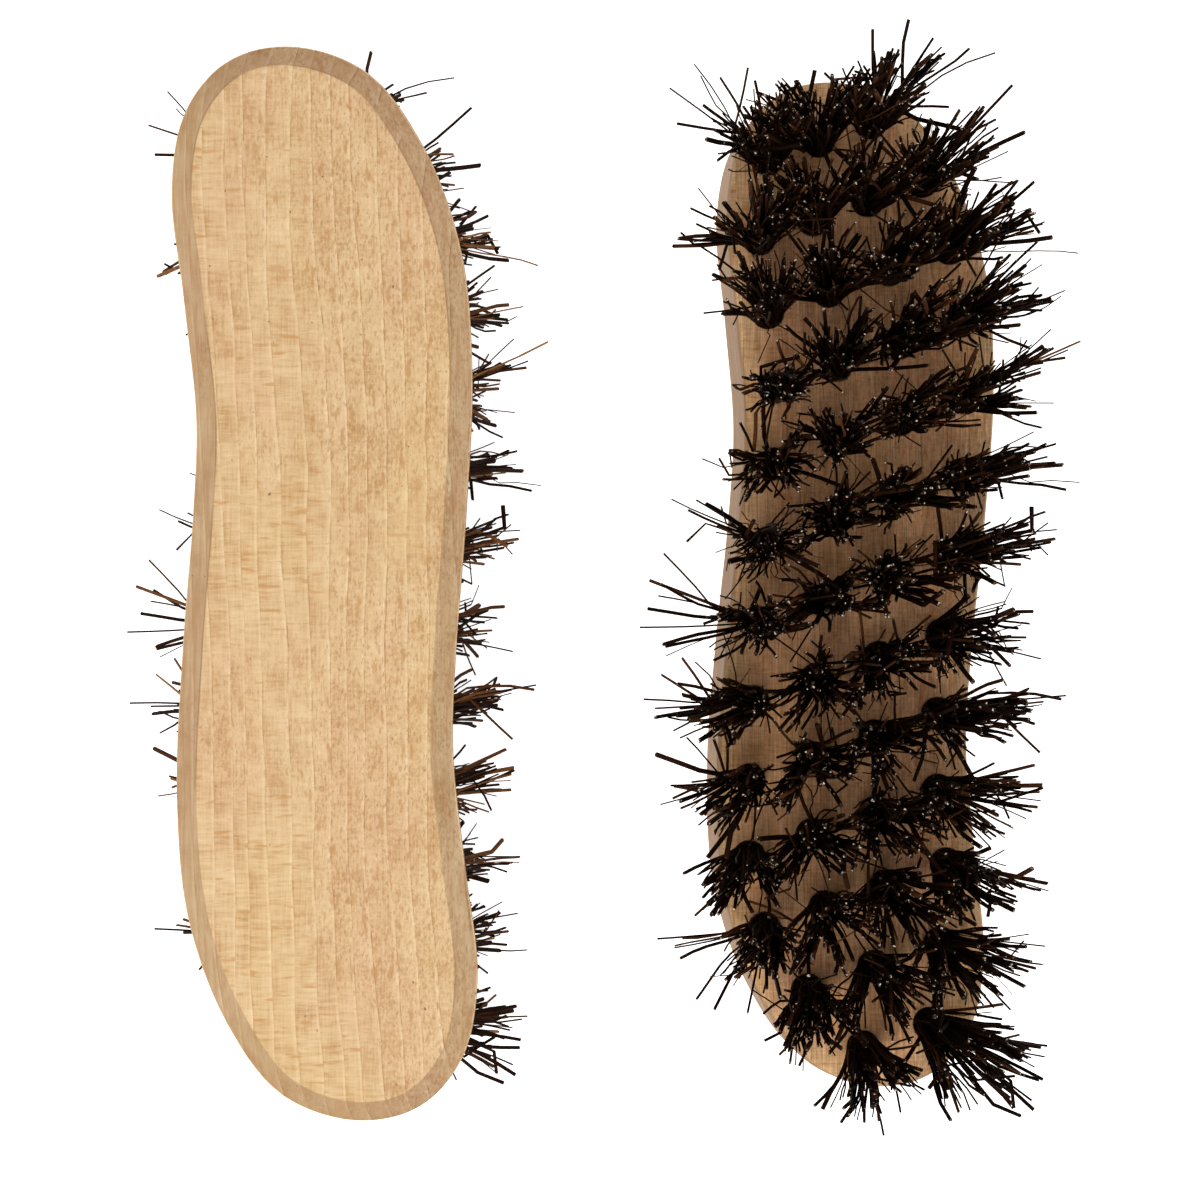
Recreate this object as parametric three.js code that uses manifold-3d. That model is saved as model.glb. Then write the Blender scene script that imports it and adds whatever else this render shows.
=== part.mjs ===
// A pair of S-shaped wooden scrubbing brushes, laid side by side.
// The right brush lies on its wooden back with its bristles up. The left brush stands on its
// bristles with its back up, and is the same brush mirrored in height.
// Units are millimetres. +Z is up and +Y runs along the brushes. The origin is at the middle
// of the underside of the pair.

import * as THREE from 'three';
import { mergeVertices } from 'three/addons/utils/BufferGeometryUtils.js';
import Module from 'manifold-3d';

// ---- Driving dimensions ----

// The wooden block
const BLOCK_LENGTH = 224.2;
const BLOCK_WIDTH = 63.9;
const BLOCK_THICKNESS = 20;
const CHAMFER_WIDTH = 4.6; // the chamfer round the back, seen from above
const CHAMFER_DEPTH = 2.3; // the same chamfer, down the side
const SIDE_TAPER = 1.5; // how much less each side reaches at the sole than at the chamfer
const OUTLINE_STEPS = 96;

// Half of the S outline, from the head down one side to the tail. The other half is the same
// points turned half a turn about the middle of the block.
const HALF_OUTLINE = [
  [-6.6, 112],
  [8.9, 106.6],
  [20.4, 91.6],
  [28.4, 69.8],
  [30.8, 44.3],
  [29.6, 14.5],
  [27.4, -14.5],
  [26.8, -34.9],
  [29.3, -58.8],
  [31.9, -82.6],
  [28.7, -99],
  [19.8, -109.1],
];

// The tufts of bristles and their holes
const TUFTS_IN_ROW = [3, 4, 4, 4, 4, 4, 4, 4, 4, 4, 4, 3, 2]; // from the head to the tail
const FIRST_ROW = 101.6; // where the first row crosses the middle of the block
const ROW_PITCH = 17.1; // along the block
const ROW_TILT = THREE.MathUtils.degToRad(21);
const MOST_TUFT_PITCH = 15.5; // along a row
const EDGE_MARGIN = 8.3; // from a tuft's centre to the block's widest outline
const HOLE_RADIUS = 3.6;
const HOLE_DEPTH = 9.3;
const TUFT_GAP = 0.3; // clearance between a tuft and its hole
const TUFT_SIDES = 8;
const TRIM_HEIGHT = 28; // bristle ends above the sole
const TIP_HALF_LENGTH = 9.8; // of a tuft's end, along its row
const TIP_HALF_WIDTH = 7.4; // of a tuft's end, across its row
const LEAN_SIDEWAYS = 0.18; // how far a tuft's end leans out, per millimetre from the middle
const LEAN_ENDWAYS = 0.03; // the same, towards the head and the tail

// How the two brushes lie
const BRUSH_SPACING = 113.9; // middle to middle
const RIGHT_BRUSH_TURN = THREE.MathUtils.degToRad(-1.5);

// ---- Solids ----

const wasm = await Module();
wasm.setup();

/** A closed three.js geometry as a solid that can be joined and cut. */
function toSolid(geometry) {
  const bare = geometry.clone();
  bare.deleteAttribute('normal');
  bare.deleteAttribute('uv');
  const merged = mergeVertices(bare, 1e-4);
  const vertProperties = merged.attributes.position.array;
  const triVerts = new Uint32Array(merged.index.array);
  return new wasm.Manifold(new wasm.Mesh({ numProp: 3, vertProperties, triVerts }));
}

/** A solid back as a three.js geometry. */
function toGeometry(solid) {
  const { vertProperties, triVerts } = solid.getMesh();
  const geometry = new THREE.BufferGeometry();
  geometry.setAttribute('position', new THREE.BufferAttribute(vertProperties, 3));
  geometry.setIndex(new THREE.BufferAttribute(triVerts, 1));
  geometry.computeVertexNormals();
  return geometry;
}

// ---- The wooden block ----

/** The S outline as a closed ring of points, with the block's exact length and width. */
function makeOutline() {
  const side = HALF_OUTLINE.map(([x, y]) => new THREE.Vector3(x, y, 0));
  const otherSide = side.map((point) => point.clone().negate());
  const curve = new THREE.CatmullRomCurve3([...side, ...otherSide], true, 'centripetal');
  const ring = curve.getSpacedPoints(OUTLINE_STEPS).slice(0, -1);
  const size = new THREE.Box3().setFromPoints(ring).getSize(new THREE.Vector3());
  return ring.map(
    ({ x, y }) => new THREE.Vector2((x * BLOCK_WIDTH) / size.x, (y * BLOCK_LENGTH) / size.y),
  );
}

/** The outline as a slab that is full size for a block's thickness up from z = 0, with sloping ends. */
function makeSlab(outline, slopeHeight, slopeInset) {
  return new THREE.ExtrudeGeometry(new THREE.Shape(outline), {
    depth: BLOCK_THICKNESS,
    bevelThickness: slopeHeight,
    bevelSize: slopeInset,
    bevelOffset: -slopeInset,
    bevelSegments: 1,
  });
}

/** The block, with its sole at z = 0 and its chamfered back below, drilled for the tufts. */
function makeBlock(outline, tufts) {
  const widest = CHAMFER_DEPTH - BLOCK_THICKNESS;
  const chamfered = makeSlab(outline, CHAMFER_DEPTH, CHAMFER_WIDTH).translate(0, 0, widest);
  const tapered = makeSlab(outline, -widest, SIDE_TAPER).translate(0, 0, widest - BLOCK_THICKNESS);
  const drill = new THREE.CylinderGeometry(HOLE_RADIUS, HOLE_RADIUS, 2 * HOLE_DEPTH, TUFT_SIDES);
  drill.rotateX(Math.PI / 2).rotateZ(ROW_TILT);

  let block = toSolid(chamfered).intersect(toSolid(tapered));
  for (const { x, y } of tufts) {
    block = block.subtract(toSolid(drill.clone().translate(x, y, 0)));
  }
  return toGeometry(block);
}

// ---- The tufts ----

/** True where a tuft has room in the sole. */
function hasRoom(point, outline) {
  let crossings = 0;
  for (let i = 0; i < outline.length; i++) {
    const a = outline[i];
    const b = outline[(i + 1) % outline.length];
    if (point.distanceTo(a) < EDGE_MARGIN) return false;
    if (a.y > point.y === b.y > point.y) continue;
    if (point.x < a.x + ((b.x - a.x) * (point.y - a.y)) / (b.y - a.y)) crossings += 1;
  }
  return crossings % 2 === 1;
}

/** Where the tufts of one slanting row stand, spread evenly over the room in the sole. */
function rowOfTufts(row, count, outline) {
  const along = new THREE.Vector2(Math.cos(ROW_TILT), Math.sin(ROW_TILT));
  const crossing = new THREE.Vector2(0, FIRST_ROW - row * ROW_PITCH);
  const at = (distance) => along.clone().multiplyScalar(distance).add(crossing);
  const free = [];
  for (let distance = -BLOCK_WIDTH; distance <= BLOCK_WIDTH; distance += 0.5) {
    if (hasRoom(at(distance), outline)) free.push(distance);
  }
  const [first, last] = [free[0], free[free.length - 1]];
  const pitch = Math.min((last - first) / (count - 1), MOST_TUFT_PITCH);
  const steps = Array.from({ length: count }, (_, i) => i - (count - 1) / 2);
  return steps.map((step) => at((first + last) / 2 + step * pitch));
}

/** One tuft: a round root in its hole and a flared bunch of bristles that leans outwards. */
function makeTuft(base) {
  const rootRadius = HOLE_RADIUS - TUFT_GAP;
  const rootBottom = TUFT_GAP - HOLE_DEPTH;
  const profile = [
    [0, rootBottom],
    [rootRadius, rootBottom],
    [rootRadius, TUFT_GAP],
    [TIP_HALF_WIDTH, TRIM_HEIGHT],
    [0, TRIM_HEIGHT],
  ].map(([radius, height]) => new THREE.Vector2(radius, height));
  const geometry = new THREE.LatheGeometry(profile, TUFT_SIDES).rotateX(Math.PI / 2);

  const bristles = geometry.attributes.position;
  for (let i = 0; i < bristles.count; i++) {
    if (bristles.getZ(i) < TRIM_HEIGHT) continue;
    bristles.setX(i, (bristles.getX(i) * TIP_HALF_LENGTH) / TIP_HALF_WIDTH);
  }
  geometry.rotateZ(ROW_TILT).translate(base.x, base.y, 0);
  for (let i = 0; i < bristles.count; i++) {
    if (bristles.getZ(i) < TRIM_HEIGHT) continue;
    bristles.setX(i, bristles.getX(i) + base.x * LEAN_SIDEWAYS);
    bristles.setY(i, bristles.getY(i) + base.y * LEAN_ENDWAYS);
  }
  return toSolid(geometry);
}

/** A row of tufts, whose ends spread until they meet. */
function makeRow(tufts) {
  return toGeometry(tufts.map(makeTuft).reduce((joined, tuft) => joined.add(tuft)));
}

// ---- The pair ----

const outline = makeOutline();
const rows = TUFTS_IN_ROW.map((count, row) => rowOfTufts(row, count, outline));
const blockGeometry = makeBlock(outline, rows.flat());
const rowGeometries = rows.map(makeRow);

const beech = new THREE.MeshStandardMaterial({ color: 0xdcb88d, roughness: 0.6, metalness: 0 });
const fibre = new THREE.MeshStandardMaterial({ color: 0x24140c, roughness: 0.8, metalness: 0 });

function part(name, geometry, material) {
  const mesh = new THREE.Mesh(geometry, material);
  mesh.name = name;
  return mesh;
}

/** A brush with its sole at z = 0 and its bristles up. */
function makeBrush(side) {
  const brush = new THREE.Group();
  brush.add(part(`${side}_block`, blockGeometry, beech));
  rowGeometries.forEach((geometry, row) => {
    const number = String(row + 1).padStart(2, '0');
    brush.add(part(`${side}_tuft_row_${number}`, geometry, fibre));
  });
  return brush;
}

const rightBrush = makeBrush('right');
rightBrush.position.set(BRUSH_SPACING / 2, 0, BLOCK_THICKNESS);
rightBrush.rotation.z = RIGHT_BRUSH_TURN;

const leftBrush = makeBrush('left');
leftBrush.position.set(-BRUSH_SPACING / 2, 0, TRIM_HEIGHT);
leftBrush.scale.z = -1;

const pair = new THREE.Group();
pair.add(leftBrush, rightBrush);
const box = new THREE.Box3().setFromObject(pair, true);
const middle = box.getCenter(new THREE.Vector3());
pair.position.set(-middle.x, -middle.y, -box.min.z);

export default pair;
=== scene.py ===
"""The looks of a pair of S-shaped scrubbing brushes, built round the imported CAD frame.

The frame's two blocks and 26 rows of tufts are replaced, each in its own place, by finer pieces:
a beech block with soft arrises and drilled holes, and for each hole a tuft of separate fibres
folded round a metal anchor. Lengths are in metres; MM turns millimetres into metres.
"""
import math

import bpy
import numpy as np
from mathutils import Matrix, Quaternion, Vector, geometry, noise


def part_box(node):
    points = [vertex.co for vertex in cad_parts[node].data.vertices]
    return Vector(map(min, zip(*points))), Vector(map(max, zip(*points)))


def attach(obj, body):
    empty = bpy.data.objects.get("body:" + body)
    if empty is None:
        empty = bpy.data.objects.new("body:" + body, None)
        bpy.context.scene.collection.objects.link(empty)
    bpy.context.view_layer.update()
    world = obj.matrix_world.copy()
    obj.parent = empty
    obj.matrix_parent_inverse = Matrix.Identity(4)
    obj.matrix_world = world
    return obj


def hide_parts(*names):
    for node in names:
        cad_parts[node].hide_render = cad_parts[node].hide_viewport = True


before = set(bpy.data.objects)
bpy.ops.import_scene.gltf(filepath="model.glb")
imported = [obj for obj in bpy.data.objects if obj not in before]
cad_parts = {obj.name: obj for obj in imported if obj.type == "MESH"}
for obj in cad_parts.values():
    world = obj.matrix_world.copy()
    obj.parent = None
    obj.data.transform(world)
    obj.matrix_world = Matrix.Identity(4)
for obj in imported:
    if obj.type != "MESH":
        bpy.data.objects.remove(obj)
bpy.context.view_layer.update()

MM = 0.001


# ---- Node and colour helpers ----


def srgb(red, green, blue):
    """An 8-bit sRGB colour as the linear colour with alpha that Blender's sockets take."""
    channels = [value / 255 for value in (red, green, blue)]
    linear = [c / 12.92 if c <= 0.04045 else ((c + 0.055) / 1.055) ** 2.4 for c in channels]
    return (*linear, 1.0)


class Shader:
    """A material under construction: each method adds a node and returns its output socket."""

    def __init__(self, name):
        self.material = bpy.data.materials.new(name)
        self.material.use_nodes = True
        self.tree = self.material.node_tree
        self.surface = self.tree.nodes["Principled BSDF"]

    def add(self, kind, inputs, **settings):
        made = self.tree.nodes.new("ShaderNode" + kind)
        for name, value in settings.items():
            setattr(made, name, value)
        for key, value in inputs.items():
            self.feed(made.inputs[key], value)
        return made

    def feed(self, socket, value):
        if isinstance(value, bpy.types.NodeSocket):
            self.tree.links.new(value, socket)
        else:
            socket.default_value = value

    def set(self, **sockets):
        """Feeds the shader's own sockets; an underscore in a name stands for a space."""
        for name, value in sockets.items():
            self.feed(self.surface.inputs[name.replace("_", " ")], value)

    def place(self):
        """The position in the row frame, in millimetres."""
        metres = self.add("TexCoord", {}).outputs["Object"]
        return self.add("VectorMath", {0: metres, "Scale": 1 / MM}, operation="SCALE").outputs[0]

    def parts(self, vector):
        return self.add("SeparateXYZ", {0: vector}).outputs

    def stretch(self, vector, x, y, z):
        return self.add("VectorMath", {0: vector, 1: (x, y, z)}, operation="MULTIPLY").outputs[0]

    def shift(self, vector, offset):
        return self.add("VectorMath", {0: vector, 1: offset}, operation="ADD").outputs[0]

    def math(self, operation, *values):
        return self.add("Math", dict(enumerate(values)), operation=operation).outputs[0]

    def sum(self, *terms):
        total = terms[0]
        for term in terms[1:]:
            total = self.math("ADD", total, term)
        return total

    def times(self, *factors):
        product = factors[0]
        for factor in factors[1:]:
            product = self.math("MULTIPLY", product, factor)
        return product

    def about(self, value, strength):
        """How far value is from 0.5, times strength."""
        return self.math("MULTIPLY_ADD", value, strength, -0.5 * strength)

    def noise(self, vector, scale=1.0, detail=2.0, roughness=0.5, distortion=0.0):
        inputs = {
            "Vector": vector,
            "Scale": scale,
            "Detail": detail,
            "Roughness": roughness,
            "Distortion": distortion,
        }
        return self.add("TexNoise", inputs).outputs["Fac"]

    def step(self, value, low, high, start=0.0, end=1.0):
        """Goes smoothly from start to end as value goes from low to high."""
        inputs = {"Value": value, 1: low, 2: high, 3: start, 4: end}
        return self.add("MapRange", inputs, interpolation_type="SMOOTHSTEP").outputs[0]

    def mix(self, factor, first, second, blend="MIX"):
        made = self.add("Mix", {"Factor": factor}, data_type="RGBA", blend_type=blend)
        self.feed(made.inputs[6], first)
        self.feed(made.inputs[7], second)
        return made.outputs[2]

    def ramp(self, factor, *stops):
        """A colour ramp through (position, colour) stops."""
        made = self.add("ValToRGB", {0: factor})
        points = made.color_ramp.elements
        while len(points) < len(stops):
            points.new(0.5)
        for point, (position, colour) in zip(points, stops):
            point.position = position
            point.color = colour
        return made.outputs[0]

    def bump(self, height, distance):
        inputs = {"Height": height, "Distance": distance, "Strength": 1.0}
        return self.add("Bump", inputs).outputs[0]


# ---- Materials ----

RING_WIDTH = 4.3  # millimetres between growth lines
RING_DRIFT = 0.03  # sideways, per millimetre along the block
RING_LEAN = 0.49  # sideways, per millimetre through the block

# Tints that multiply the wood's linear colour
PINK_WOOD = (0.985, 0.95, 0.97, 1.0)
YELLOW_WOOD = (0.985, 0.975, 0.91, 1.0)
# Partly the chamfer's own duller tone, partly painted shade for its slope
CHAMFER_TONE_AND_SHADE = (0.77, 0.77, 0.80, 1.0)
END_GRAIN_TINT = (0.86, 0.82, 0.79, 1.0)
SOLE_EDGE = (1.0, 0.88, 0.81, 1.0)
# Painted shade on the sole among the tufts, away from its edge
SOLE_PAINTED_SHADE = (1.0, 0.76, 0.68, 1.0)
# Painted shade on the steep sides
SIDE_PAINTED_SHADE = (0.62, 0.54, 0.47, 1.0)


class BeechShader(Shader):
    """Quarter-sawn beech: growth bands along the block, cross figure, pores and flecks.

    The numbers given to grain are how many lumps the noise has per millimetre, along x, y and z.
    """

    def __init__(self, name, brush, seed):
        super().__init__(name)
        place = self.place()
        self.moved = self.shift(place, (seed, 2 * seed, 0))
        x, y, z = self.parts(place)
        normal = self.add("NewGeometry", {}).outputs["Normal"]
        _, self.facing_end, facing_up = self.parts(normal)
        self.flat = self.math("ABSOLUTE", facing_up)
        self.edge = self.step(self.flat, 0.92, 0.985, 1, 0)
        self.sole = self.step(self.times(facing_up, brush.up), 0.7, 0.97)
        self.find_rings(x, self.sum(self.times(y, RING_DRIFT), self.times(z, RING_LEAN), seed))
        self.find_figure(x, brush.middle[0] / MM)
        self.long_grain = self.grain(2.6, 0.11, 2.6, detail=3, roughness=0.6)

    def grain(self, x, y, z, **settings):
        return self.noise(self.stretch(self.moved, x, y, z), **settings)

    def jumped_grain(self, x, y, z, **settings):
        """Grain that stops at the growth lines."""
        return self.noise(self.stretch(self.jumped, x, y, z), **settings)

    def find_rings(self, x, lean):
        """Growth rings: a coordinate across each ring, and a number of its own for each ring."""
        sway = self.times(self.grain(0.03, 0.008, 0.03, detail=1), 9.0)
        widths = self.about(self.grain(0.09, 0.004, 0.05, detail=1), 5.0)
        wiggle = self.about(self.grain(0.08, 0.05, 0.08, detail=1), 1.4)
        rings = self.times(self.sum(x, lean, self.sum(sway, widths, wiggle)), 1 / RING_WIDTH)
        self.ring = self.math("FRACT", rings)
        count = self.math("FLOOR", rings)
        self.own = self.add("TexWhiteNoise", {"W": count}, noise_dimensions="1D").outputs["Value"]
        self.broken = self.step(self.grain(0.5, 0.2, 0.5, detail=3), 0.38, 0.62)

    def find_figure(self, x, middle):
        """Cross figure on one side of the block, and the porous wood on the other."""
        jump = self.add("CombineXYZ", {"X": 0, "Y": self.times(self.own, 60), "Z": 0}).outputs[0]
        self.jumped = self.shift(self.moved, jump)
        self.strokes = self.jumped_grain(0.17, 1.5, 0.3, detail=4, roughness=0.65)
        wander = self.about(self.grain(0.05, 0.025, 0.05, detail=1), 4)
        side = self.sum(self.times(x, 1 / 30), -middle / 30, wander)
        inner = self.step(self.edge, 0, 1, 1, 0.15)
        self.figured = self.times(self.step(side, -0.7, 0.3, 1, 0.3), inner)
        self.porous = self.step(side, -0.6, 0.4, 0.15, 1)

    def planed_colour(self):
        """The colour of the bare wood, before any marks."""
        bright_line = self.times(
            self.step(self.ring, 0.82, 0.93),
            self.step(self.ring, 0.96, 1.0, 1, 0),
        )
        dark_line = self.step(self.ring, 0.0, 0.10, 1, 0)
        speckle = self.grain(1.5, 0.9, 1.5, detail=3, roughness=0.7)
        clouds = self.jumped_grain(0.2, 0.13, 0.2, detail=3)
        tone = self.sum(
            0.5,
            self.about(self.own, 0.05),
            self.about(self.ring, 0.06),
            self.times(bright_line, 0.15),
            self.times(dark_line, self.broken, -0.13),
            self.times(self.about(self.strokes, 0.9), self.figured),
            self.times(self.about(speckle, 0.9), self.porous),
            self.about(self.long_grain, 0.5),
            self.about(clouds, 0.6),
        )
        colour = self.ramp(
            tone,
            (0.0, srgb(158, 108, 62)),
            (0.25, srgb(194, 150, 100)),
            (0.5, srgb(217, 182, 135)),
            (0.75, srgb(230, 198, 153)),
            (1.0, srgb(242, 216, 178)),
        )
        patches = self.grain(0.05, 0.02, 0.05, detail=2)
        colour = self.mix(self.step(patches, 0.5, 0.65), colour, PINK_WOOD, "MULTIPLY")
        return self.mix(self.step(patches, 0.35, 0.5, 1, 0), colour, YELLOW_WOOD, "MULTIPLY")

    def with_marks(self, colour):
        """Adds pores, dark seams at the growth lines, flecks, dashes and the odd dark speck."""
        pores = self.grain(2.3, 0.75, 2.3, detail=1, distortion=0.2)
        self.pore_mark = self.times(self.step(pores, 0.59, 0.70), self.porous)
        colour = self.mix(self.times(self.pore_mark, 0.5), colour, srgb(172, 126, 84))
        seams = self.times(self.step(self.ring, 0.0, 0.045, 1, 0), self.broken, self.porous, 0.8)
        colour = self.mix(seams, colour, srgb(154, 108, 68))
        flecks = self.grain(0.55, 0.2, 0.5, detail=2, distortion=0.2)
        fleck_mark = self.times(self.step(flecks, 0.58, 0.70), self.porous)
        colour = self.mix(self.times(fleck_mark, 0.7), colour, srgb(190, 140, 86))
        dashes = self.jumped_grain(0.17, 0.8, 0.4, detail=1)
        dash_mark = self.times(self.step(dashes, 0.63, 0.73), self.figured)
        colour = self.mix(self.times(dash_mark, 0.75), colour, srgb(198, 146, 88))
        specks = self.grain(0.9, 0.7, 0.9, detail=1)
        return self.mix(self.step(specks, 0.76, 0.82, 0, 0.8), colour, srgb(130, 88, 56))

    def with_edges(self, colour):
        """Tints and streaks the chamfer, darkens its rim in patches, and paints shade on the sides.
        """
        end_grain = self.step(self.math("ABSOLUTE", self.facing_end), 0.12, 0.42)
        rim = self.times(self.step(self.flat, 0.90, 0.94), self.step(self.flat, 0.97, 0.998, 1, 0))
        streaks = self.grain(0.9, 0.04, 0.9, detail=3, roughness=0.65)
        # The chamfer's tint: partly the wood's own duller tone there, partly painted shade for its
        # slope.
        colour = self.mix(self.edge, colour, CHAMFER_TONE_AND_SHADE, "MULTIPLY")
        colour = self.mix(self.times(self.edge, end_grain), colour, END_GRAIN_TINT, "MULTIPLY")
        streak_mark = self.times(self.step(streaks, 0.42, 0.68), self.edge, 0.55)
        colour = self.mix(streak_mark, colour, srgb(176, 130, 88))
        # A darker line along the chamfer's inner rim, in patches.
        at_rim = self.step(self.grain(0.05, 0.03, 0.05, detail=1), 0.4, 0.6)
        colour = self.mix(self.times(rim, at_rim, 0.6), colour, srgb(142, 102, 64))
        # Painted shade on the steep sides.
        return self.mix(self.step(self.flat, 0.4, 0.85, 1, 0), colour, SIDE_PAINTED_SHADE, "MULTIPLY")

    def with_sole(self, colour):
        """Leaves the sole as sawn, and paints shade on the wood among the tufts."""
        from_edge = self.add("Attribute", {}, attribute_name="from_edge").outputs["Fac"]
        rough_sawn = self.grain(0.4, 2.0, 0.4, detail=3, roughness=0.7)
        blotches = self.grain(0.12, 0.05, 0.12, detail=3)
        sawn = self.sum(
            1.0,
            self.about(self.long_grain, 1.3),
            self.about(rough_sawn, 0.8),
            self.about(blotches, 1.2),
        )
        ragged = self.sum(from_edge, self.about(blotches, 6.0))
        # Painted shade on the sole, from a few millimetres in from the edge to among the tufts.
        tint = self.mix(self.step(ragged, 2.5, 9.5), SOLE_EDGE, SOLE_PAINTED_SHADE)
        tint = self.add("VectorMath", {0: tint, "Scale": sawn}, operation="SCALE").outputs[0]
        return self.mix(self.sole, colour, tint, "MULTIPLY")


def beech_material(name, brush, seed):
    shader = BeechShader(name, brush, seed)
    colour = shader.planed_colour()
    colour = shader.with_marks(colour)
    colour = shader.with_edges(colour)
    colour = shader.with_sole(colour)
    height = shader.sum(
        shader.times(shader.pore_mark, -0.7),
        shader.times(shader.long_grain, 1.2),
        shader.strokes,
    )
    shader.set(
        Base_Color=colour,
        Roughness=shader.step(shader.long_grain, 0.3, 0.7, 0.55, 0.7),
        Normal=shader.bump(height, 0.05 * MM),
        Specular_IOR_Level=0.3,
    )
    return shader.material


def fibre_material(name, painted_light):
    """Stiff plant fibre, from near black to tan from fibre to fibre, streaked along its length."""
    shader = Shader(name)
    tone = shader.add("Attribute", {}, attribute_name="fibre_tone").outputs["Fac"]
    streaks = shader.noise(shader.stretch(shader.place(), 3.0, 3.0, 0.35), detail=3, roughness=0.6)
    # painted_light shifts the whole ramp: up is painted light, down is painted shade.
    colour = shader.ramp(
        shader.sum(tone, painted_light, shader.about(streaks, 0.5)),
        (0.0, srgb(16, 8, 4)),
        (0.5, srgb(42, 24, 14)),
        (0.75, srgb(82, 49, 29)),
        (0.9, srgb(116, 74, 42)),
        (1.0, srgb(150, 108, 68)),
    )
    shader.set(
        Base_Color=colour,
        Roughness=shader.step(streaks, 0.3, 0.7, 0.6, 0.8),
        Normal=shader.bump(streaks, 0.06 * MM),
        Specular_IOR_Level=0.02,
    )
    return shader.material


def cut_end_material():
    """The section of a cut fibre, from dark to pale: the pale spots are partly pith, partly painted
    glints.
    """
    shader = Shader("fibre_cut_end")
    grain = shader.noise(shader.place(), scale=1.7, detail=2)
    colour = shader.ramp(
        grain,
        (0.5, srgb(28, 18, 12)),
        (0.6, srgb(84, 67, 54)),
        (0.68, srgb(214, 200, 182)),
    )
    shader.set(Base_Color=colour, Roughness=0.8, Specular_IOR_Level=0.05)
    return shader.material


def anchor_material():
    """Bright drawn steel strip with fine lengthwise marks."""
    shader = Shader("anchor_steel")
    marks = shader.noise(shader.stretch(shader.place(), 0.4, 0.4, 9.0), detail=2)
    colour = shader.ramp(marks, (0.3, srgb(168, 168, 166)), (0.7, srgb(205, 204, 200)))
    shader.set(Base_Color=colour, Metallic=1.0, Roughness=shader.step(marks, 0.3, 0.7, 0.28, 0.42))
    return shader.material


def floor_material():
    """Near-white card that glows, as on a light table."""
    shader = Shader("studio_floor")
    grain = shader.noise(shader.place(), scale=0.02, detail=1)
    colour = shader.ramp(grain, (0.3, srgb(248, 248, 248)), (0.7, srgb(252, 252, 252)))
    shader.set(Base_Color=colour, Roughness=0.9, Specular_IOR_Level=0.1)
    shader.set(Emission_Color=(1, 1, 1, 1), Emission_Strength=0.9)
    return shader.material


# ---- Meshes ----


def piece(name, points, faces, materials, face_materials=None, sharp_degrees=30):
    """A mesh object that rides on the one body."""
    mesh = bpy.data.meshes.new(name)
    mesh.from_pydata(points, [], faces)
    for material in materials:
        mesh.materials.append(material)
    if face_materials is not None:
        mesh.polygons.foreach_set("material_index", face_materials)
    mesh.polygons.foreach_set("use_smooth", [True] * len(mesh.polygons))
    mesh.set_sharp_from_angle(angle=math.radians(sharp_degrees))
    mesh.update()
    made = bpy.data.objects.new(name, mesh)
    bpy.context.scene.collection.objects.link(made)
    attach(made, "root")
    return made


def node_points(node):
    """A CAD node's corners, each once, as rows of x, y, z."""
    corners = [tuple(vertex.co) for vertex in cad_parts[node].data.vertices]
    return np.unique(np.round(corners, 6), axis=0)


def turned(flat, angle):
    """Plan points turned anticlockwise about the origin."""
    cosine, sine = math.cos(angle), math.sin(angle)
    return flat @ np.array([[cosine, sine], [-sine, cosine]])


class Brush:
    """Where one brush is: its sole, the way its bristles point, its edges and its tufts."""

    def __init__(self, side):
        self.side = side
        self.block = f"{side}_block"
        self.rows = sorted(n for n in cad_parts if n.startswith(f"{side}_tuft_row"))
        low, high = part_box(self.block)
        bristles_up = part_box(self.rows[0])[1].z > high.z
        self.up = 1 if bristles_up else -1
        self.sole = high.z if bristles_up else low.z
        self.thickness = high.z - low.z
        self.middle = np.array([(low.x + high.x) / 2, (low.y + high.y) / 2])
        self.trim = self.heights(node_points(self.rows[0])).max()
        self.tufts = [self.find_tufts(row) for row in self.rows]
        ends = [row[-1] - row[0] for row in self.tufts]
        self.row_angle = float(np.mean([math.atan2(end[1], end[0]) for end in ends]))
        self.turn = self.row_angle - ROW_TILT
        self.measure_block()

    def heights(self, points):
        """Heights over the sole, towards the bristle ends."""
        return (points[:, 2] - self.sole) * self.up

    def at(self, flat, height):
        """The row-frame point over the plan position flat, at this height over the sole."""
        return (flat[0], flat[1], self.sole + self.up * height)

    def measure_block(self):
        """Finds the widest ring of the CAD block, where it is, and how far the edges draw in."""
        points = node_points(self.block)
        levels = np.round(self.heights(points), 5)
        back, widest = np.unique(levels)[:2]
        ring = points[levels == widest, :2]
        turns = np.arctan2(*(ring - self.middle).T[::-1])
        self.outline = smooth_ring(ring[np.argsort(turns)])
        self.chamfer_start = -widest
        self.chamfer = ring[:, 0].max() - points[levels == back, 0].max()
        self.taper = ring[:, 0].max() - points[levels == 0, 0].max()

    def find_tufts(self, row):
        """The plan position of each tuft's root in a row, from the bottoms of the CAD roots."""
        points = node_points(row)
        heights = self.heights(points)
        roots = [list(p) for p in points[heights < heights.min() + 0.5 * MM, :2]]
        found = []
        while roots:
            near = [p for p in roots if math.dist(p, roots[0]) < 8 * MM]
            found.append(np.mean(near, axis=0))
            roots = [p for p in roots if p not in near]
        return sorted(found, key=lambda tuft: tuft[0])


def smooth_ring(ring, steps=5):
    """A closed ring with steps times as many points, on a smooth curve through the old ones."""
    before, after, beyond = (np.roll(ring, shift, axis=0) for shift in (1, -1, -2))
    shares = np.arange(steps)[:, None, None] / steps
    curve = 0.5 * (
        2 * ring
        + (after - before) * shares
        + (2 * before - 5 * ring + 4 * after - beyond) * shares**2
        + (3 * ring - before - 3 * after + beyond) * shares**3
    )
    return curve.transpose(1, 0, 2).reshape(-1, 2)


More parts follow.
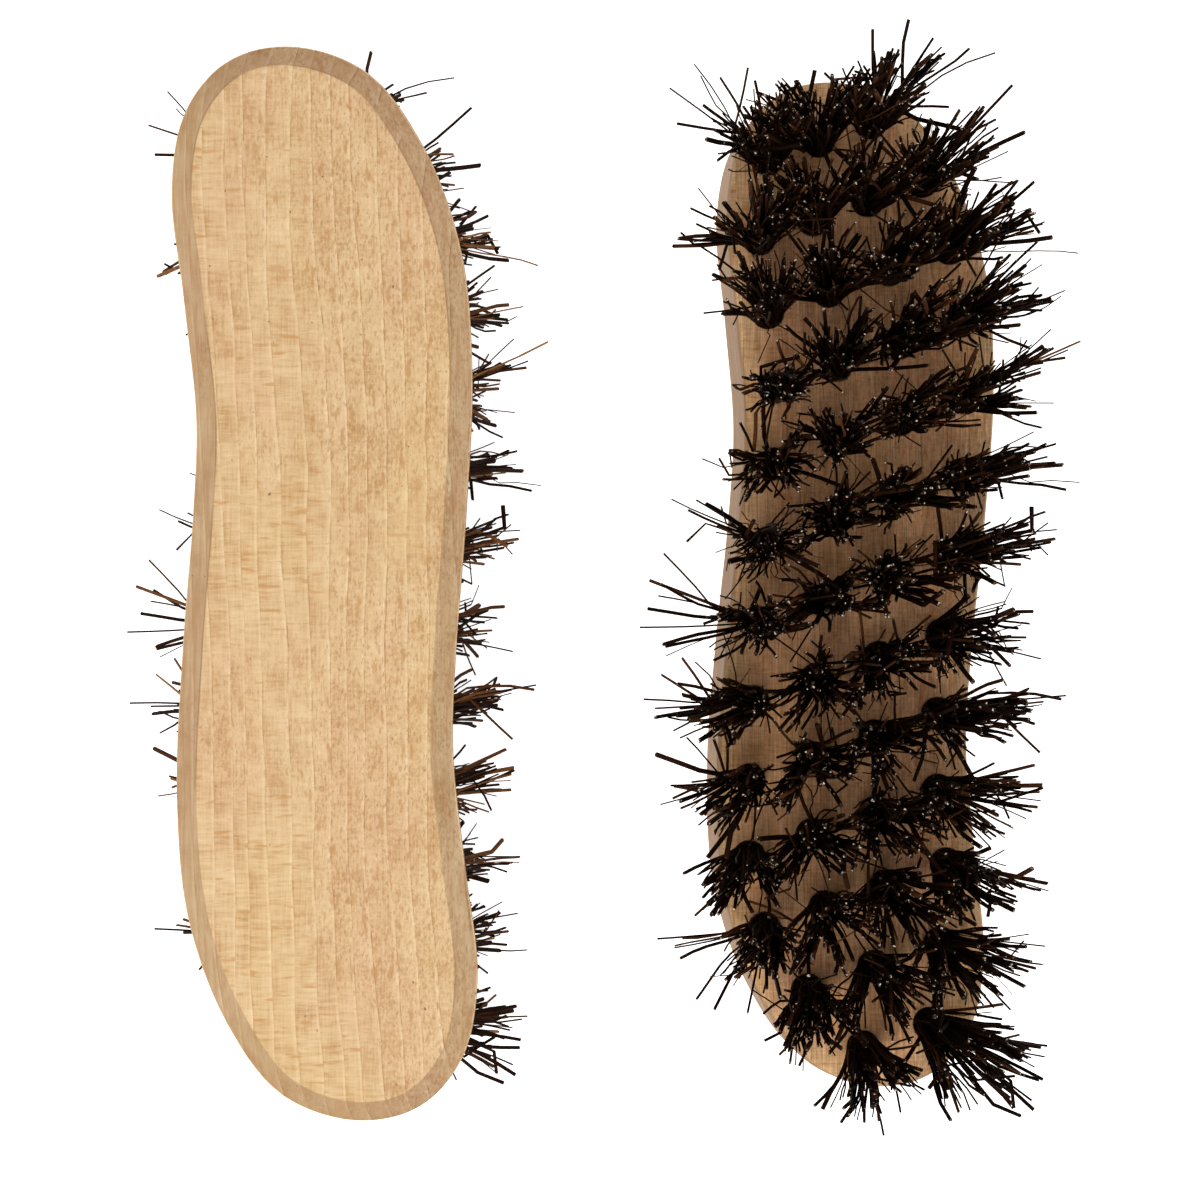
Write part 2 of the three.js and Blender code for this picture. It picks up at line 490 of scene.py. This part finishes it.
def inward(ring):
    """The unit direction into the ring at each of its points."""
    along = np.roll(ring, -1, axis=0) - np.roll(ring, 1, axis=0)
    along /= np.linalg.norm(along, axis=1)[:, None]
    return np.stack([-along[:, 1], along[:, 0]], axis=1)


# ---- The wooden block ----

HOLE_RADIUS = 3.6 * MM
HOLE_DEPTH = 9.3 * MM
HOLE_SIDES = 20
HOLE_MARGIN = 4.2 * MM  # from the outline to just outside the nearest hole


def block_profile(brush):
    """From the sole round the edge to the back: (inset from the outline, depth, sway) of each ring.

    The first ring lies just outside the holes. sway is how much of the chamfer's slight waviness
    the ring takes.
    """
    soft = 0.9 * MM
    arris = 0.3 * MM
    start, thickness = brush.chamfer_start, brush.thickness
    chamfer, taper = brush.chamfer, brush.taper
    slope = (thickness - start) / chamfer
    return [
        (HOLE_MARGIN, 0, 0),
        (taper + 1.8 * soft, 0, 0),
        (taper + soft, 0, 0),
        (taper + 0.45 * soft, 0.13 * soft, 0),
        (taper + 0.13 * soft, 0.45 * soft, 0),
        (taper * (1 - soft / start), soft, 0),
        (taper * (1 - 2 * soft / start), 2 * soft, 0),
        (3 * taper * arris / start, start - 3 * arris, 0),
        (0, start - arris, 0.3),
        (0.3 * arris, start + 0.6 * arris, 0.6),
        (arris, start + slope * arris, 0.8),
        (chamfer - arris, thickness - slope * arris, 1),
        (chamfer - 0.35 * arris, thickness - 0.22 * arris, 1),
        (chamfer + 0.5 * arris, thickness, 1),
        (chamfer + 2 * arris, thickness, 1),
    ]


def add_hole(brush, tuft, points, faces):
    """Adds one blind hole's wall and cone to a block's mesh, and returns its rim's indices."""
    turns = np.arange(HOLE_SIDES) * 2 * math.pi / HOLE_SIDES
    circle = np.stack([np.cos(turns), np.sin(turns)], axis=1)
    at_rim = 0.18 * MM
    rings = []
    for radius, depth in ((HOLE_RADIUS + at_rim, 0), (HOLE_RADIUS, at_rim), (HOLE_RADIUS, HOLE_DEPTH)):
        rings.append(range(len(points), len(points) + HOLE_SIDES))
        points.extend(brush.at(tuft + radius * spoke, -depth) for spoke in circle)
    tip = len(points)
    points.append(brush.at(tuft, -HOLE_DEPTH - 0.8 * MM))
    for outer, inner in zip(rings, rings[1:]):
        for i in range(HOLE_SIDES):
            j = (i + 1) % HOLE_SIDES
            faces.append((outer[i], outer[j], inner[j], inner[i]))
    faces.extend((rings[-1][i], rings[-1][(i + 1) % HOLE_SIDES], tip) for i in range(HOLE_SIDES))
    return list(rings[0])


def fill(points, *loops):
    """Triangles that fill the first loop of point indices, less the other loops."""
    flat = [index for loop in loops for index in loop]
    corners = [[Vector(points[index]).xy.to_3d() for index in loop] for loop in loops]
    return [tuple(flat[i] for i in triangle) for triangle in geometry.tessellate_polygon(corners)]


def make_block(brush, material):
    into = inward(brush.outline)
    wobble = [noise.noise(Vector((*p / (30 * MM), brush.thickness))) for p in brush.outline]
    wobble = 0.3 * MM * np.array(wobble)[:, None]
    points, faces, rings = [], [], []
    for inset, depth, sway in block_profile(brush):
        ring = brush.outline + into * (inset + sway * np.maximum(wobble, -inset))
        rings.append(range(len(points), len(points) + len(ring)))
        points.extend(brush.at(p, -depth) for p in ring)
    count = len(brush.outline)
    for first, second in zip(rings, rings[1:]):
        for i in range(count):
            j = (i + 1) % count
            faces.append((first[i], first[j], second[j], second[i]))
    rims = [add_hole(brush, tuft, points, faces) for row in brush.tufts for tuft in row]
    faces.extend(fill(points, rings[0], *rims))
    faces.extend(fill(points, rings[-1]))
    made = piece(f"{brush.side}_beech_block", points, faces, [material])
    from_edge = [np.linalg.norm(brush.outline - p[:2], axis=1).min() / MM for p in points]
    made.data.attributes.new("from_edge", "FLOAT", "POINT").data.foreach_set("value", from_edge)
    face_outwards(made)
    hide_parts(brush.block)
    return made


def face_outwards(made):
    """Turns every face of a closed mesh to face outwards."""
    bpy.ops.object.select_all(action="DESELECT")
    bpy.context.view_layer.objects.active = made
    made.select_set(True)
    bpy.ops.object.mode_set(mode="EDIT")
    bpy.ops.mesh.select_all(action="SELECT")
    bpy.ops.mesh.normals_make_consistent(inside=False)
    bpy.ops.object.mode_set(mode="OBJECT")


# ---- The tufts ----

ROW_TILT = math.radians(21)  # of the rows in a brush's own frame
FIBRES_IN_TUFT = 50  # each folded in two, so twice as many ends
CLUMPS = 7  # on each side of a tuft, into which its fibres gather
FIBRE_SIDES = 5
FIBRE_RADIUS = 0.33 * MM
ROOT_RADIUS = 3.1 * MM
TIP_SPREAD = np.array([11.3, 5.8]) * MM  # how far a tuft's ends spread, along and across its row
FIRST_SPREAD = 0.78  # the first tuft of each row is narrower, by this factor
ANCHOR_DEPTH = 8.2 * MM
LEG_SHARES = np.array([0, 0.14, 0.3, 0.48, 0.66, 0.83, 1.0])  # of a leg's height over the sole

# A tuft's ends lean out by this share of its distance from the middle, sideways and endways
LEAN = np.array([0.18, 0.03])

# How many of the legs are kinked, long or short
KINKED_SHARE = 0.2
LONG_SHARE = 0.12
SHORT_SHARE = 0.3

# All in millimetres from the middle of a brush
STRAYS = (  # the ends of the longest strays, and their radii
    (-36.3, 100.7, 0.40),
    (-33.6, 105.3, 0.30),
    (16.6, 112.0, 0.30),
    (24.7, 114.5, 0.20),
    (28.1, 106.3, 0.40),
    (30.3, 95.5, 0.60),
    (31.8, 84.5, 0.40),
    (35.3, 76.5, 0.45),
    (43.5, 71.5, 0.20),
    (-35.8, 69.5, 0.40),
    (-33.0, 10.8, 0.40),
    (40.3, 21.0, 0.35),
    (-46.0, -6.8, 0.40),
    (-43.5, -37.8, 0.50),
    (-39.5, -22.0, 0.40),
    (37.8, -41.5, 0.60),
    (36.0, -37.0, 0.50),
    (-33.4, -65.9, 0.40),
    (35.1, -60.7, 0.55),
    (36.4, -79.4, 0.40),
    (-35.0, -86.5, 0.35),
    (-23.4, -90.0, 0.30),
    (37.9, -96.2, 0.50),
    (39.4, -105.4, 0.50),
    (38.4, -110.5, 0.50),
    (33.1, -113.5, 0.45),
    (-13.6, -99.9, 0.40),
    (-8.9, -108.9, 0.40),
    (0.3, -111.9, 0.40),
    (5.6, -114.7, 0.30),
)
SPLAYED_CLUMPS = (  # the middle of a clump's ends out past the edge, and how many fibres it has
    (-40.5, 104.0, 5),
    (-41.0, 70.0, 5),
    (-36.5, 15.0, 5),
    (-45.5, -3.0, 4),
    (-43.0, -12.0, 4),
    (-42.0, -30.0, 6),
    (-39.0, -46.0, 2),
    (-39.0, -77.0, 5),
    (37.5, -101.0, 8),
    (34.0, -108.5, 7),
)
FUZZY_TUFTS = ((1, 1), (2, 2), (6, 1))  # row and column of the tufts with a wad of brown fuzz
SPLAYED_TUFTS = {  # how much further these tufts lean, in millimetres
    (1, 1): (1, 0),
    (2, 1): (3, 0),
    (3, 1): (-1, 1),
    (4, 1): (2, -3),
    (5, 1): (1, -3),
    (6, 1): (1, -2),
    (8, 1): (-3, 0),
    (9, 1): (-3, -1),
    (10, 1): (1, -1),
    (13, 2): (3, -1),
}


class Fibres:
    """The fibres of one tuft, gathered in its own frame: along its row, across it, and up."""

    def __init__(self, seed):
        self.random = np.random.default_rng(seed)
        self.points, self.faces, self.face_materials, self.tones = [], [], [], []

    def add(self, path, radius, tone):
        """Adds one fibre: an irregular, slightly flattened section along the path."""
        random = self.random
        along = np.gradient(path, axis=0)
        along /= np.linalg.norm(along, axis=1)[:, None]
        side = np.cross(along, (1.0, 0.0, 0.0))
        side /= np.linalg.norm(side, axis=1)[:, None]
        over = np.cross(along, side)
        turns = np.arange(FIBRE_SIDES) * 2 * math.pi / FIBRE_SIDES
        lumps = random.uniform(0.8, 1.15, FIBRE_SIDES)
        flatness = random.uniform(0.5, 1.0)
        section = np.stack([np.cos(turns) * lumps, np.sin(turns) * lumps * flatness])
        twist = random.uniform(0, math.pi) + np.linspace(0, random.uniform(-1, 1), len(path))
        cosines, sines = np.cos(twist)[:, None], np.sin(twist)[:, None]
        first = cosines * section[0] - sines * section[1]
        second = sines * section[0] + cosines * section[1]
        offsets = first[:, :, None] * side[:, None] + second[:, :, None] * over[:, None]
        radii = radius * np.where(path[:, 2] < 0, 0.75, 1.0)
        self.add_skin(path[:, None] + offsets * radii[:, None, None])
        self.tones.extend([tone] * (len(path) * FIBRE_SIDES))

    def add_skin(self, rings):
        start = len(self.points)
        self.points.extend(rings.reshape(-1, 3))
        for ring in range(len(rings) - 1):
            for i in range(FIBRE_SIDES):
                a = start + ring * FIBRE_SIDES + i
                b = start + ring * FIBRE_SIDES + (i + 1) % FIBRE_SIDES
                self.faces.append((a, b, b + FIBRE_SIDES, a + FIBRE_SIDES))
        last = start + (len(rings) - 1) * FIBRE_SIDES
        self.faces.append(tuple(range(start + FIBRE_SIDES - 1, start - 1, -1)))
        self.faces.append(tuple(range(last, last + FIBRE_SIDES)))
        self.face_materials += [0] * ((len(rings) - 1) * FIBRE_SIDES) + [1, 1]

    def make(self, name, brush, root, materials):
        """The fibres as a piece over the hole at root."""
        points = np.array(self.points)
        points[:, 2] = np.minimum(points[:, 2], brush.trim)
        flat = turned(points[:, :2], brush.row_angle) + root
        placed = [brush.at(p, height) for p, height in zip(flat, points[:, 2])]
        faces = [face[:: brush.up] for face in self.faces]
        made = piece(name, placed, faces, materials, self.face_materials, sharp_degrees=80)
        tones = made.data.attributes.new("fibre_tone", "FLOAT", "POINT")
        tones.data.foreach_set("value", self.tones)
        return made


def leg_to(random, root, reach, length, trim):
    """One half of a fibre over the sole: points from its root out to its cut end.

    root and reach are (along, across), from the middle of the hole and from the root.
    """
    reach = reach * min(1.0, 0.9 * length / np.linalg.norm(reach))
    rise = math.sqrt(length**2 - np.linalg.norm(reach) ** 2)
    straight = random.uniform(0.35, 1.0)
    shares = LEG_SHARES[:, None]
    bent = straight * shares + (1 - straight) * shares**2
    wave = np.sin(shares * random.uniform(3, 8)) * random.normal(0, 0.6 * MM, 2)
    path = np.column_stack([root + reach * bent + wave * shares, rise * LEG_SHARES])
    if random.random() < KINKED_SHARE:
        kink(random, path)
    path[:, 2] = np.clip(path[:, 2], 0, trim - 0.3 * MM)
    return path


def kink(random, path):
    """Bends the end of a leg sharply to one side."""
    at = random.integers(3, 6)
    bend = Quaternion(random.normal(0, 1, 3), random.uniform(0.4, 1.2))
    for i in range(at + 1, len(path)):
        path[i] = path[at] + bend @ Vector(path[i] - path[at])


def random_leg(random, clump, spread, lean, trim):
    """A leg of the clump at that place, from -1 to 1 along and across the tuft's end."""
    reach = clump * spread + random.normal(0, 1.5 * MM, 2)
    if random.random() < LONG_SHARE:
        reach *= random.uniform(1.1, 1.5)
    spot = clump + random.normal(0, 0.3, 2)
    spot /= max(1.0, np.linalg.norm(spot))
    length = trim * min(1.0, random.normal(0.985, 0.02)) + 0.6 * MM
    if random.random() < SHORT_SHARE:
        length *= random.uniform(0.65, 0.95)
    root = spot * ROOT_RADIUS
    return leg_to(random, root, reach + lean - root, length, trim)


def folded(random, there, back):
    """A whole fibre: down one leg from its end, round under the anchor and up the other."""
    middle = 0.35 * (there[0, 0] + back[0, 0])
    deep = ANCHOR_DEPTH + random.uniform(0, 0.5 * MM)
    loop = random.uniform(0.5, 1.6) * MM
    fold = [(middle, loop, -0.85 * deep), (middle, 0, -deep), (middle, -loop, -0.85 * deep)]
    return np.vstack([there[::-1], fold, back])


def random_clumps(random, side):
    """Where a tuft's clumps are on one side of the anchor, from -1 to 1 along and across it."""
    across = random.uniform(0.1, 1.0, CLUMPS)
    along = np.linspace(-1, 1, CLUMPS) * np.sqrt(1.05 - across**2) + random.normal(0, 0.1, CLUMPS)
    return np.stack([along, side * across], axis=1)


def fibre_radius(random):
    """From half to 1.8 times the usual radius."""
    return FIBRE_RADIUS * float(np.clip(random.lognormal(-0.05, 0.4), 0.5, 1.8))


def fibre_tone(random):
    """Most fibres are near black, some brown and a few tan."""
    draw = random.random()
    if draw < 0.66:
        return random.uniform(0.1, 0.5)
    if draw < 0.96:
        return random.uniform(0.5, 0.8)
    return random.uniform(0.8, 0.95)


def add_fuzz(fibres, lean, trim):
    """A wad of fine, short, curled brown hairs among the fibres."""
    random = fibres.random
    for _ in range(30):
        root = random.uniform(-0.6, 0.6, 2) * ROOT_RADIUS
        reach = random.normal(0, 4 * MM, 2) + lean
        hair = leg_to(random, root, reach, trim * random.uniform(0.5, 0.8), trim)
        hair[1:] += random.normal(0, 0.7 * MM, hair[1:].shape)
        fibres.add(hair, random.uniform(0.1, 0.2) * MM, random.uniform(0.85, 0.95))


def add_stray(fibres, reach, radius, trim):
    """A long fibre whose end is at reach from the middle of the hole, along and across the row."""
    random = fibres.random
    spot = 0.6 * ROOT_RADIUS * reach / np.linalg.norm(reach)
    stray = leg_to(random, spot, reach - spot, trim * random.uniform(0.95, 1.1), trim)
    stray = np.vstack([(*0.6 * spot, -0.8 * ANCHOR_DEPTH), stray])
    fibres.add(stray, radius, fibre_tone(random))


def add_hair(fibres, lean, trim):
    """A very thin fibre that wanders."""
    random = fibres.random
    reach = random.normal(0, 8 * MM, 2) + lean
    hair = leg_to(random, np.zeros(2), reach, trim * random.uniform(0.9, 1.3), trim)
    hair[2:, :2] += np.cumsum(random.normal(0, 1.2 * MM, (len(hair) - 2, 2)), axis=0)
    fibres.add(hair, random.uniform(0.1, 0.18) * MM, fibre_tone(random))


def make_tuft(brush, row, column, strays, materials):
    """One tuft in its hole. Both brushes get the same tufts, mirrored."""
    fibres = Fibres(1000 * row + column)
    random = fibres.random
    root = brush.tufts[row - 1][column - 1]
    own = turned(root - brush.middle, -brush.turn)
    splay = np.array(SPLAYED_TUFTS.get((row, column), (0, 0))) * MM
    lean = turned(own * LEAN + splay, -ROW_TILT)
    spread = TIP_SPREAD * (FIRST_SPREAD if column == 1 else 1.0)
    one_side, other_side = random_clumps(random, 1), random_clumps(random, -1)
    for _ in range(FIBRES_IN_TUFT):
        there = random_leg(random, random.choice(one_side), spread, lean, brush.trim)
        back = random_leg(random, random.choice(other_side), spread, lean, brush.trim)
        fibres.add(folded(random, there, back), fibre_radius(random), fibre_tone(random))
    for end, radius in strays:
        add_stray(fibres, turned(end - own, -ROW_TILT), radius, brush.trim)
    for _ in range(random.integers(0, 3)):
        add_hair(fibres, lean, brush.trim)
    if (row, column) in FUZZY_TUFTS:
        add_fuzz(fibres, lean, brush.trim)
    made = fibres.make(f"{brush.side}_tuft_{row:02d}_{column}", brush, root, materials)
    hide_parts(brush.rows[row - 1])
    return made


def long_ends():
    """The ends of the strays and of the splayed clumps, each with its fibre's radius."""
    random = np.random.default_rng(3)
    ends = [(np.array([x, y]) * MM, radius * MM) for x, y, radius in STRAYS]
    for x, y, count in SPLAYED_CLUMPS:
        around = random.normal((x * MM, y * MM), 1.8 * MM, (count, 2))
        ends.extend((end, fibre_radius(random)) for end in around)
    return ends


def share_out_strays(brush):
    """Gives each long stray to the tuft nearest to its end: {(row, column): [(end, radius)]}."""
    spots = {
        (row, column): turned(root - brush.middle, -brush.turn)
        for row, roots in enumerate(brush.tufts, 1)
        for column, root in enumerate(roots, 1)
    }
    shared = {spot: [] for spot in spots}
    for end, radius in long_ends():
        nearest = min(spots, key=lambda spot: math.dist(spots[spot], end))
        shared[nearest].append((end, radius))
    return shared


def make_anchors(brush, material):
    """The flat metal anchor at the bottom of each hole, under which the fibres are folded."""
    half = np.array([3.1, 0.25]) * MM
    top, bottom = -ANCHOR_DEPTH + 2.4 * MM, -ANCHOR_DEPTH + 0.6 * MM
    points, faces = [], []
    for root in [root for row in brush.tufts for root in row]:
        first = len(points)
        for height, width in ((bottom, 0.8), (bottom + 0.4 * MM, 1.0), (top, 1.0)):
            corners = half * width * np.array([(-1, -1), (1, -1), (1, 1), (-1, 1)])
            points.extend(brush.at(p, height) for p in turned(corners, brush.row_angle) + root)
        for level in (0, 4):
            for i in range(4):
                a, b = first + level + i, first + level + (i + 1) % 4
                faces.append((a, b, b + 4, a + 4)[:: brush.up])
        faces.append((first + 3, first + 2, first + 1, first)[:: brush.up])
        faces.append((first + 8, first + 9, first + 10, first + 11)[:: brush.up])
    return piece(f"{brush.side}_anchors", points, faces, [material])


# ---- Studio ----


def make_floor():
    """A floor so wide that its far edge looks like a horizon from low down."""
    bpy.ops.mesh.primitive_plane_add(size=30)
    floor = bpy.context.object
    floor.name = "studio_floor"
    floor.data.materials.append(floor_material())


def make_light(name, place, size, power):
    """A square soft light that faces the middle of the pair."""
    lamp = bpy.data.lights.new(name, "AREA")
    lamp.size = size
    lamp.energy = power
    made = bpy.data.objects.new(name, lamp)
    made.location = place
    made.rotation_euler = (-Vector(place)).to_track_quat("-Z", "Y").to_euler()
    bpy.context.scene.collection.objects.link(made)


def make_world(brightness):
    world = bpy.data.worlds.new("studio")
    bpy.context.scene.world = world
    world.use_nodes = True
    background = world.node_tree.nodes["Background"]
    background.inputs["Color"].default_value = (1, 1, 1, 1)
    background.inputs["Strength"].default_value = brightness


def make_camera():
    """Straight above the pair, and so near that the higher back looks larger than the sole."""
    camera = bpy.data.cameras.new("camera")
    camera.sensor_width = 36
    camera.lens = 65.3
    camera.clip_start = 0.01
    made = bpy.data.objects.new("camera", camera)
    made.location = (0.4 * MM, -3.4 * MM, 500 * MM)
    bpy.context.scene.collection.objects.link(made)
    bpy.context.scene.camera = made


# ---- Everything ----

make_camera()
cut_end = cut_end_material()
steel = anchor_material()
# The left brush's fibres get painted light, the right brush's painted shade.
for side, seed, painted_light in (("left", 11.0, 0.1), ("right", 57.0, -0.12)):
    brush = Brush(side)
    fibre = fibre_material(f"{side}_fibre", painted_light)
    make_block(brush, beech_material(f"{side}_beech", brush, seed))
    for (row, column), strays in share_out_strays(brush).items():
        make_tuft(brush, row, column, strays, [fibre, cut_end])
    make_anchors(brush, steel)

make_floor()
make_world(0.62)
make_light("key", (-0.15, -0.75, 1.3), 0.9, 11.5)
make_light("fill", (0.8, 0.3, 1.2), 1.2, 2)
bpy.context.scene.view_settings.view_transform = "Standard"
